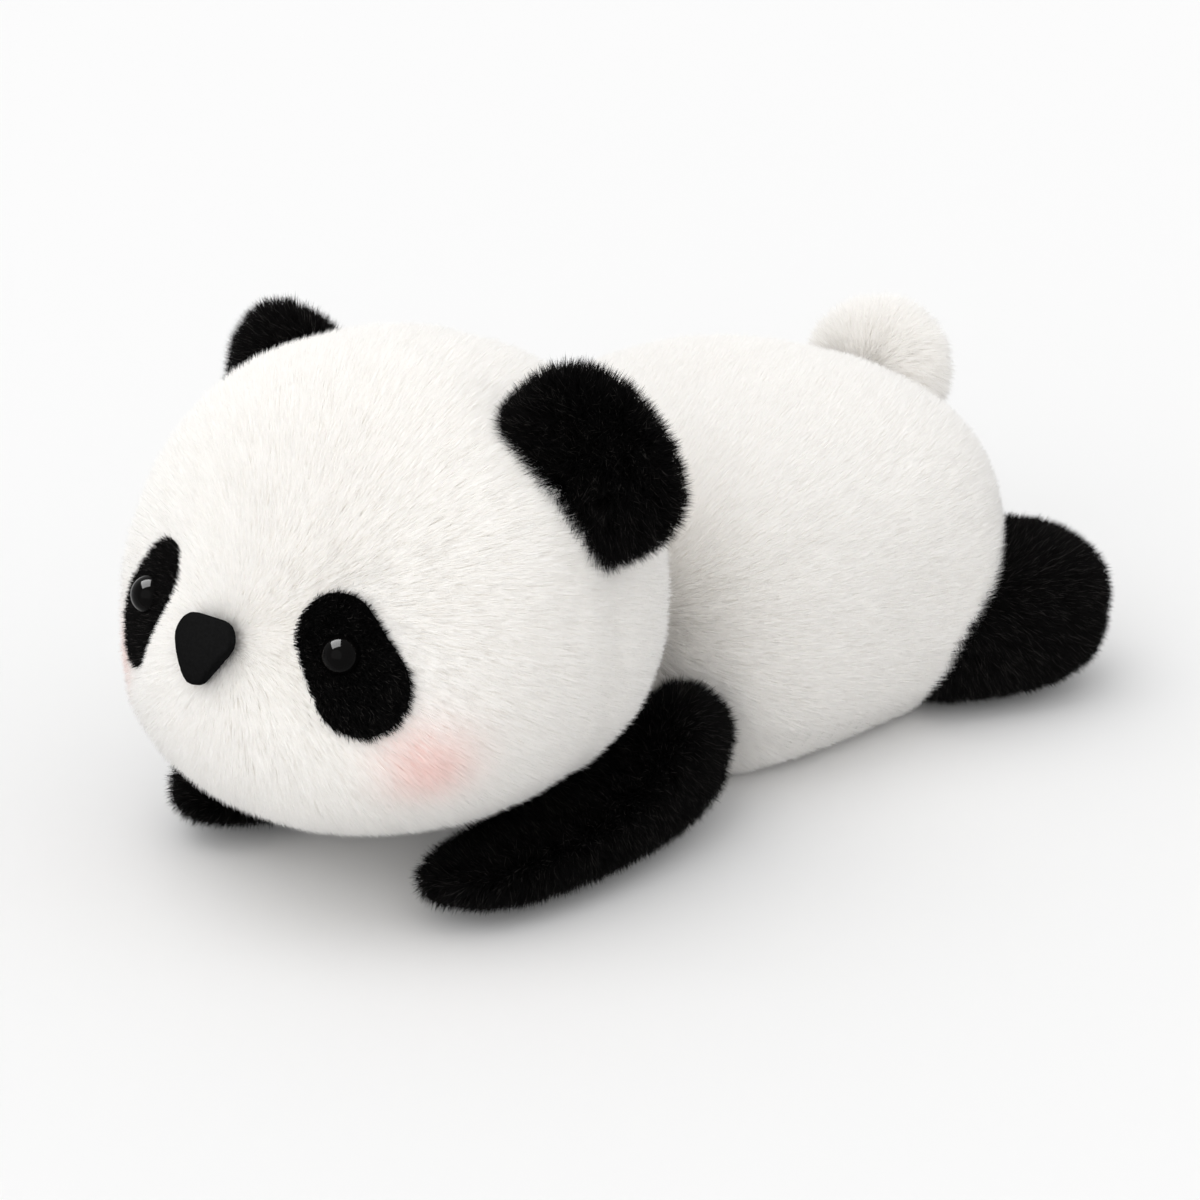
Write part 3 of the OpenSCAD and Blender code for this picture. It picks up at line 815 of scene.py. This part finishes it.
def filling_piece(cloth, skin):
    """The fibre filling that a body's cloth holds, a little inside its backing."""
    piece = new_object(cloth.body + "_filling", skin.data.copy())
    co, up = points_of(piece.data), normals_of(piece.data)
    depth = FILLING_DEPTH - FILLING_LUMP * lumps(co, FILLING_LUMP_SIZE)
    place_points(piece.data, co - depth[:, None] * up)
    remeshed(piece, FILLING_STEP, FILLING_ROUNDS)
    piece.data.materials.clear()
    piece.data.materials.append(bpy.data.materials.get("fibre_filling") or filling())
    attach(piece, cloth.body)
    for node in cloth.inner:
        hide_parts(node)


# How steeply a panel's hidden margin dips
MARGIN_DIP = 0.3


def panel_piece(name, skin, own, margin=3 * MM):
    """A copy of the skin's faces that belong to a panel, with a small margin under its neighbours."""
    mesh = skin.data.copy()
    store(mesh, "own", own)
    piece = new_object(name, mesh)
    # The margin dips under its neighbour, so that the two never lie in one surface
    under = MARGIN_DIP * np.clip(-own, 0, margin)[:, None] * normals_of(mesh)
    place_points(mesh, points_of(mesh) - under)
    bm = bmesh.new()
    bm.from_mesh(mesh)
    layer = bm.verts.layers.float["own"]
    bmesh.ops.delete(bm, geom=[v for v in bm.verts if v[layer] < -margin], context="VERTS")
    bm.to_mesh(mesh)
    bm.free()
    return piece


BLACK_DENSITY, BLACK_WIDTH = 1.3, 0.8
BLACK_TUFT, WHITE_TUFT = 4 * MM, 7 * MM
PATCH_LENGTH, PATCH_LEAN, PATCH_TUFT, PATCH_STRAY = 0.55, 0.7, 0.5, 0.5

# How far apart the seeds of two panels and of two bodies lie
PANEL_SEEDS, BODY_SEEDS = 13, 101


def dress(cloth, settings, finishes, tree):
    """Makes a body's cloth: one piece for each panel."""
    pile = settings.pile
    skin, own, trim = cloth_skin(cloth, pile)
    if cloth.inner:
        filling_piece(cloth, skin)
    store(skin.data, "trim", trim)
    for number, node in enumerate(cloth.nodes):
        patch = node in cloth.patches
        black = cloth.black or patch
        colour = "black" if black else "white"
        piece = panel_piece(node.removesuffix("_panel") + "_plush", skin, own[node])
        if cloth.patches and not patch:
            lengths = values_of(piece.data, "pile") * values_of(piece.data, "trim")
            piece.data.attributes["pile"].data.foreach_set("value", lengths)
        piece.data.materials.clear()
        piece.data.materials.append(finishes[colour + "_backing"])
        length = pile.black_length if black else pile.white_length
        grow_pile(piece, tree, {
            "Density": pile.density * 1 * (BLACK_DENSITY if black else 1),
            "Length": length * (PATCH_LENGTH if patch else 1),
            "Width": pile.fibre_width * 1 * (BLACK_WIDTH if black else 1),
            "Lean": PATCH_LEAN if patch else cloth.lean,
            "Tuft": PATCH_TUFT if patch else cloth.tuft,
            "Tuft Size": BLACK_TUFT if black else WHITE_TUFT,
            "Stray": PATCH_STRAY if patch else cloth.stray,
            "Seed": pile.seed + PANEL_SEEDS * number + BODY_SEEDS * len(OUTSIDES),
            "Fibre": finishes[colour + "_pile"],
        })
        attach(piece, cloth.body)
        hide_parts(node)
    bpy.data.objects.remove(skin)


def finishes_of(colours):
    """The cloth's materials, each made once."""
    made = bpy.data.materials
    return {
        "white_pile": made.get("white_pile") or white_fibre(colours),
        "black_pile": made.get("black_pile") or black_fibre(colours),
        # Each backing takes its pile's root colour, and with it that colour's painted shade.
        "white_backing": made.get("white_backing") or backing("white_backing", tuple(colours.white_root_painted_shade)),
        "black_backing": made.get("black_backing") or backing("black_backing", tuple(colours.black_root_painted_shade)),
    }


def dress_all(context, *cloths):
    """Makes the cloth of one or more bodies for an operator."""
    settings = context.scene.panda
    tree = bpy.data.node_groups.get("pile") or pile_tree()
    for cloth in cloths:
        dress(cloth, settings, finishes_of(settings.colours), tree)
    return {"FINISHED"}


# The blush's strength and reach on a cheek
BLUSH = 0.34
BLUSH_REACH = 11 * MM

# The face's pile grows longer away from the nose: how far away, and its share of its length there
NOSE_AWAY = (12 * MM, 30 * MM, 70 * MM)
NOSE_PILE = (0.6, 0.85, 1.0)

# Where the photograph shows the cloth fuller than its solid: by the near ear's root and on each hip,
# with the reach and the height of the swelling
TEMPLE_OFF = np.array((0, -6, -8)) * MM
TEMPLE_REACH, TEMPLE_HEIGHT = 26 * MM, 3.2 * MM
HIP = np.array((75, 30, 34)) * MM
HIP_REACH, HIP_HEIGHT = 18 * MM, 5.5 * MM

# Where the torso's comb starts, under the neck
NAPE = np.array((0, -75, 50)) * MM


class PANDA_OT_head(bpy.types.Operator):
    """Make the head's cloth: the face, the two back panels and the eye patches"""

    bl_idname = "panda.head"
    bl_label = "Head"

    def execute(self, context):
        nose = middle("nose")
        cheek = place_on_face(IMAGE_POINTS["cheek"])
        cheeks = (cheek, cheek * (-1, 1, 1))

        def flow(co):
            return unit(co - nose) + np.array((0, 0, -0.15))

        def length(co):
            away = np.linalg.norm(co - nose, axis=1)
            return np.interp(away, NOSE_AWAY, NOSE_PILE)

        def blush(co):
            away = np.min([np.linalg.norm(co - c, axis=1) for c in cheeks], axis=0)
            return BLUSH * np.exp(-((away / BLUSH_REACH) ** 2))

        temple = joint_place("left_ear_fold") + TEMPLE_OFF
        return dress_all(context, Cloth(
            "head", HEAD, ("head_stuffing",), flow, 1.5, pile=length, blush=blush,
            patches=("left_eye_patch", "right_eye_patch"),
            puff=lambda co: swell(co, temple, TEMPLE_REACH, TEMPLE_HEIGHT),
        ))


class PANDA_OT_neck(bpy.types.Operator):
    """Cover the neck's filling with the pile of the cloth that is gathered round it"""

    bl_idname = "panda.neck"
    bl_label = "Neck"

    def execute(self, context):
        return dress_all(context, Cloth(
            "neck", ("neck_stuffing",), (), lambda co: np.tile((0, 0.8, 0.3), (len(co), 1)), 1.0,
            stray=0.3, tuft=0.4, puff=lambda co: np.full(len(co), 2 * MM),
        ))


class PANDA_OT_torso(bpy.types.Operator):
    """Make the torso's cloth: the two back panels and the belly"""

    bl_idname = "panda.torso"
    bl_label = "Torso"

    def execute(self, context):
        rump = joint_place("tail_wag")

        def flow(co):
            """From the neck to the tail, which cover both whorls"""
            return unit(co - NAPE) + unit(rump - co)

        def puff(co):
            """The same on both hips"""
            return swell(np.abs(co) * (1, 0, 0) + co * (0, 1, 1), HIP, HIP_REACH, HIP_HEIGHT)

        return dress_all(context, Cloth("torso", TORSO, ("torso_stuffing",), flow, 1.5, puff=puff))


class PANDA_OT_ears(bpy.types.Operator):
    """Make the cloth of both ears"""

    bl_idname = "panda.ears"
    bl_label = "Ears"

    def execute(self, context):
        cloths = []
        for side in ("left", "right"):
            root = joint_place(side + "_ear_fold")
            cloths.append(Cloth(
                side + "_ear", ear_cloth(side), (side + "_ear_stuffing",),
                lambda co, root=root: unit(co - root), 0.6, black=True, rounds=10, stray=0.55, tuft=0.9,
                puff=lambda co, side=side: np.full(len(co), EAR_PUFF[side]), shift=EASED[side + "_ear"],
            ))
        return dress_all(context, *cloths)


class PANDA_OT_limbs(bpy.types.Operator):
    """Make the cloth of the arms and legs"""

    bl_idname = "panda.limbs"
    bl_label = "Limbs"

    def execute(self, context):
        puffs = {
            "arm": lambda co: np.interp(co[:, 2], (4 * MM, 28 * MM), (0, 2.0 * MM)),
            "leg": lambda co: np.full(len(co), 0.8 * MM),
        }
        cloths = []
        for side in ("left", "right"):
            for limb in ("arm", "leg"):
                root = joint_place(f"{side}_{limb}_swing")
                cloths.append(Cloth(
                    f"{side}_{limb}", limb_cloth(side, limb), (f"{side}_{limb}_stuffing",),
                    lambda co, root=root: unit(co - root) + np.array((0, 0, -0.4)), 0.8,
                    black=True, convex=limb == "leg", rounds=10, stray=0.5, tuft=0.8,
                    puff=puffs[limb], shift=EASED[f"{side}_{limb}"],
                ))
        return dress_all(context, *cloths)


class PANDA_OT_tail(bpy.types.Operator):
    """Make the tail's ball of cloth"""

    bl_idname = "panda.tail"
    bl_label = "Tail"

    def execute(self, context):
        center = middle("tail_cover")
        toward = unit(joint_place("tail_wag") - center)
        down = along_surface(np.array([(0.0, 0.0, -1.0)]), toward[None])[0]

        def flow(co):
            """Lines that leave the root and come back to it, so that no whorl shows"""
            p = unit(co - center)
            return (1 - p @ toward)[:, None] * down + (p @ down)[:, None] * (toward - p)

        return dress_all(context, Cloth(
            "tail", ("tail_cover",), ("tail_stuffing",), flow, 0.8, stray=0.3, tuft=0.5
        ))


# The nose's mesh: its step, and how often it is smoothed
NOSE_STEP = 0.45 * MM
NOSE_ROUNDS = 6


class PANDA_OT_fittings(bpy.types.Operator):
    """Finish the nose, the eyes, the washers and the threads"""

    bl_idname = "panda.fittings"
    bl_label = "Nose, eyes and threads"

    def execute(self, context):
        nose = remeshed(from_bmesh("nose_flocked", node_mesh("nose")), NOSE_STEP, NOSE_ROUNDS)
        nose.data.materials.clear()
        nose.data.materials.append(flocked())
        for p in nose.data.polygons:
            p.use_smooth = True
        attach(nose, "head")
        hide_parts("nose")
        plastic, nylon, thread = glossy_plastic(), washer_plastic(), twisted_thread()
        for name, node in frame["nodes"].items():
            if node.hide_render:
                continue
            if name.endswith("_eye"):
                finish_node(node, plastic)
            elif "washer" in name:
                finish_node(node, nylon)
            elif "thread" in name or "stitches" in name:
                finish_node(node, thread)
        return {"FINISHED"}


# ---------------------------------------------------------------- camera and image points


def camera_axes(camera):
    turn = camera.matrix_world.to_3x3()
    return turn.col[0], turn.col[1], turn.col[2]


def make_camera(settings):
    view = settings.camera
    aim = Vector(view.aim)
    a, e = view.azimuth, view.elevation
    away = Vector((math.sin(a) * math.cos(e), -math.cos(a) * math.cos(e), math.sin(e)))
    data = bpy.data.cameras.new("photo_camera")
    data.lens, data.sensor_width, data.sensor_fit = view.lens, view.sensor, "AUTO"
    camera = new_object("photo_camera", data)
    place = aim + view.distance * away
    camera.matrix_world = Matrix.Translation(place) @ away.to_track_quat("Z", "Y").to_matrix().to_4x4()
    bpy.context.scene.camera = camera
    return camera


def ray_through(point):
    """The camera's place, and the way of the ray through a point of the photograph."""
    camera = bpy.context.scene.camera
    data = camera.data
    side = max(FRAME_W, FRAME_H)
    local = Vector((
        point[0] - FRAME_W / 2 + data.shift_x * side,
        FRAME_H / 2 - point[1] + data.shift_y * side,
        -side * data.lens / data.sensor_width,
    ))
    world = camera.matrix_world
    return world.translation, (world.to_3x3() @ local).normalized()


def in_photo(co):
    """Points of the model in the photograph's pixels."""
    camera = bpy.context.scene.camera
    data = camera.data
    side = max(FRAME_W, FRAME_H)
    local = np.asarray(co) - np.array(camera.matrix_world.translation)
    x, y, z = (local @ np.array(axis) for axis in camera_axes(camera))
    scale = side * data.lens / data.sensor_width / -z
    return np.stack([
        FRAME_W / 2 + x * scale - data.shift_x * side,
        FRAME_H / 2 - y * scale + data.shift_y * side,
    ], 1)


# Where along a ray that misses the head the nearest place on it is sought
RAY_STEPS = np.linspace(0.6, 1.4, 400)


def place_on_face(point):
    """Where the ray through a point of the photograph meets the head."""
    bm = hull_mesh(node_mesh("face_panel", "head_back_left_panel", "head_back_right_panel"))
    bm.normal_update()
    tree = BVHTree.FromBMesh(bm)
    bm.free()
    origin, way = ray_through(point)
    hit = tree.ray_cast(origin, way)[0]
    if hit is None:
        step = [tree.find_nearest(origin + way * d) for d in RAY_STEPS]
        hit = min(step, key=lambda found: found[3])[0]
    return np.array(hit)


# ---------------------------------------------------------------- stage


class PANDA_OT_stage(bpy.types.Operator):
    """Set the camera, the floor and the light"""

    bl_idname = "panda.stage"
    bl_label = "Stage"

    def execute(self, context):
        settings = context.scene.panda
        make_camera(settings)
        make_floor(settings.light)
        make_light(settings.light)
        return {"FINISHED"}


def hidden(place, but):
    """Whether cloth of another body stands between the camera and a point."""
    origin = bpy.context.scene.camera.matrix_world.translation
    way = Vector(place) - origin
    reach = way.length - 2 * MM
    way.normalize()
    return any(
        body != but and tree.ray_cast(origin, way, reach)[0] is not None for body, tree in OUTSIDES.items()
    )


# How many of a piece's points are looked at, and the share of them that stand out past its edge and
# don't count for its middle
SHOWN_POINTS = 4000
SHOWN_STRAYS = 0.001


def shown_of(name, body):
    """Where the middle of what shows of a piece lies in the photograph's frame."""
    piece = bpy.data.objects[name]
    co, normals = points_of(piece.data), normals_of(piece.data)
    eye = np.array(bpy.context.scene.camera.matrix_world.translation)
    facing = ((eye - co) * normals).sum(1) > 0
    if "own" in piece.data.attributes:
        facing &= values_of(piece.data, "own") > 0
    picked = np.random.default_rng(1).permutation(np.flatnonzero(facing))[:SHOWN_POINTS]
    seen = in_photo(co[[i for i in picked if not hidden(co[i], body)]])
    return np.quantile(seen, (SHOWN_STRAYS, 1 - SHOWN_STRAYS), axis=0).mean(0)


# The share of the pile's points that stand out past an edge and don't show as part of it
STRAYS = 1e-4


def check_points():
    """Finds where the frame's edges and each thing show in the photograph's frame, in pixels."""
    every = np.concatenate([in_photo(points_of(o.data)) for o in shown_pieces() if o.type == "MESH"])
    low, high = np.quantile(every, STRAYS, axis=0), np.quantile(every, 1 - STRAYS, axis=0)
    found = {
        "left_edge_x": low[0], "right_edge_x": high[0], "top_edge_y": low[1], "bottom_edge_y": high[1],
        "eye": shown_of("left_eye", "head"),
        "nose": shown_of("nose_flocked", "head"),
        "eye_patch": shown_of("left_eye_patch_plush", "head"),
        "ear": shown_of("left_ear_front_plush", "left_ear"),
        "tail": shown_of("tail_cover_plush", "tail"),
        "cheek": in_photo([place_on_face(IMAGE_POINTS["cheek"])])[0],
    }


# The floor's paleness for the light that it throws back on the panda, how much its tint varies, and
# the strength at which the sky shows
FLOOR_BOUNCE = 0.3
FLOOR_TINT = 0.003
SKY_SHOWN = 0.956


def seen_ray(tree):
    """1 for the rays that show the background: the camera's, and those in gloss and glass."""
    path = add(tree, "ShaderNodeLightPath")
    plain = maths(tree, "MAXIMUM", path.outputs["Is Camera Ray"], path.outputs["Is Transmission Ray"])
    return maths(tree, "MAXIMUM", plain, path.outputs["Is Glossy Ray"])


def make_floor(light):
    bm = bmesh.new()
    bmesh.ops.create_grid(bm, x_segments=1, y_segments=1, size=8)
    floor = from_bmesh("floor", bm)
    made, tree, shader = material("pale_floor")
    tint = grain(tree, 3)
    low, high = (tuple(light.floor_tone + d for _ in range(3)) for d in (-FLOOR_TINT, FLOOR_TINT))
    shown = mixed(tree, tint, low, high)
    put(tree, shader.inputs["Base Color"], mixed(tree, seen_ray(tree), (FLOOR_BOUNCE,) * 3, shown))
    shader.inputs["Roughness"].default_value = 1
    shader.inputs["Specular IOR Level"].default_value = 0
    glow = maths(tree, "MULTIPLY", seen_ray(tree), light.floor_glow)
    put(tree, shader.inputs["Emission Strength"], glow)
    shader.inputs["Emission Color"].default_value = (1, 1, 1, 1)
    floor.data.materials.append(made)
    floor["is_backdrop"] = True


def lamp(name, kind, place, aim, power, **shape):
    """A light at a place that shines towards an aim."""
    data = bpy.data.lights.new(name, kind)
    data.energy = power
    for key, value in shape.items():
        setattr(data, key, value)
    made = new_object(name, data)
    way = Vector(place) - Vector(aim)
    made.matrix_world = Matrix.Translation(place) @ way.to_track_quat("Z", "Y").to_matrix().to_4x4()
    return made


def make_light(light):
    world = bpy.data.worlds.new("studio")
    bpy.context.scene.world = world
    world.use_nodes = True
    tree = world.node_tree
    sky = tree.nodes["Background"]
    put(tree, sky.inputs["Strength"], scaled(tree, seen_ray(tree), light.sky, SKY_SHOWN))
    sky.inputs["Color"].default_value = (1, 1, 1, 1)
    lamp("soft_top", "SUN", (-0.2, -0.3, 1.0), (0, 0, 0), light.top, angle=math.radians(45))
    lamp("low_front", "SUN", (0.25, -1.0, 0.35), (0, 0, 0), light.front, angle=math.radians(60))
    window = lamp(
        "window", "AREA", (-0.456, -0.417, 1.37), (0, -0.06, 0.06), light.window,
        shape="RECTANGLE", size=1.3, size_y=1.1,
    )
    window.visible_diffuse = False
    bpy.context.scene.view_settings.view_transform = "Standard"


# ---------------------------------------------------------------- panel and run


class PandaSettings(bpy.types.PropertyGroup):
    """All settings of the panda"""

    pile: bpy.props.PointerProperty(type=PandaPile)
    colours: bpy.props.PointerProperty(type=PandaColours)
    light: bpy.props.PointerProperty(type=PandaLight)
    camera: bpy.props.PointerProperty(type=PandaCamera)


STEPS = (
    PANDA_OT_stage, PANDA_OT_head, PANDA_OT_neck, PANDA_OT_torso, PANDA_OT_ears, PANDA_OT_limbs,
    PANDA_OT_tail, PANDA_OT_fittings,
)


class PANDA_PT_panel(bpy.types.Panel):
    """Lists the panda's settings and steps"""

    bl_label = "Plush Panda"
    bl_idname = "PANDA_PT_panel"
    bl_space_type = "VIEW_3D"
    bl_region_type = "UI"
    bl_category = "Panda"

    def draw(self, context):
        settings = context.scene.panda
        for group in (settings.pile, settings.colours, settings.light, settings.camera):
            for name in group.__annotations__:
                self.layout.prop(group, name)
        for step in STEPS:
            self.layout.operator(step.bl_idname)


CLASSES = (PandaPile, PandaColours, PandaLight, PandaCamera, PandaSettings, *STEPS, PANDA_PT_panel)


def register():
    for cls in CLASSES:
        bpy.utils.register_class(cls)
    bpy.types.Scene.panda = bpy.props.PointerProperty(type=PandaSettings)


def unregister():
    del bpy.types.Scene.panda
    for cls in reversed(CLASSES):
        bpy.utils.unregister_class(cls)


def main():
    register()
    for step in STEPS:
        group, name = step.bl_idname.split(".")
        getattr(getattr(bpy.ops, group), name)()
    check_points()


if __name__ == "__main__":
    main()
